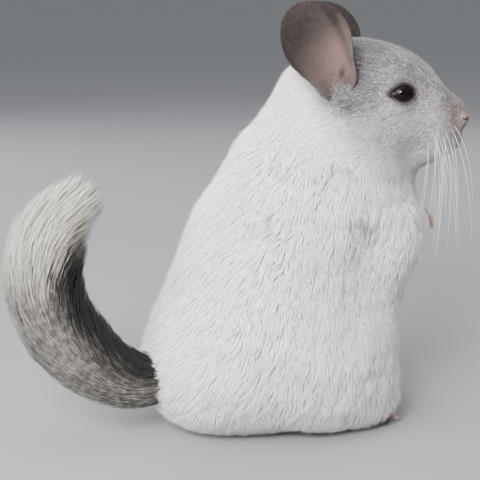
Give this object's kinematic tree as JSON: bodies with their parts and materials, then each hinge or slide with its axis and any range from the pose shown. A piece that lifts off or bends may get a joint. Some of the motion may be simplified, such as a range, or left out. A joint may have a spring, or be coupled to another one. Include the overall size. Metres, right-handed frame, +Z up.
{
  "type": "sitting chinchilla",
  "caption": "life-size chinchilla sitting up on its haunches, head turned to its right, forefeet held to the chest, brush of a tail swept up behind",
  "frame": {"origin": "on the floor, in the middle of the flat that the haunches sit on", "axes": "+Z up, the chest faces -Y, the animal's left side is +X, the tail sweeps back along +Y"},
  "size_m": [0.1162, 0.2298, 0.2099],
  "materials": {
    "coat": "plush fur, dull",
    "face_coat": "short plush fur, dull",
    "ear_skin": "thin bare skin with down",
    "paw_skin": "bare skin",
    "eye_black": "wet gloss",
    "tail_dark": "long coarse hair",
    "tail_pale": "long coarse hair"
  },
  "bodies": {
    "root": {"ear_left": "ear_skin", "ear_right": "ear_skin", "eye_left": "eye_black", "eye_right": "eye_black", "forefoot_left": "paw_skin", "forefoot_right": "paw_skin", "foreleg_left": "coat", "foreleg_right": "coat", "head": "face_coat", "hind_foot_left": "paw_skin", "hind_foot_right": "paw_skin", "hind_leg_left": "coat", "hind_leg_right": "coat", "neck": "coat", "tail_middle": "tail_dark", "tail_root": "tail_dark", "tail_tip": "tail_pale", "torso": "coat"}
  },
  "joints": []
}
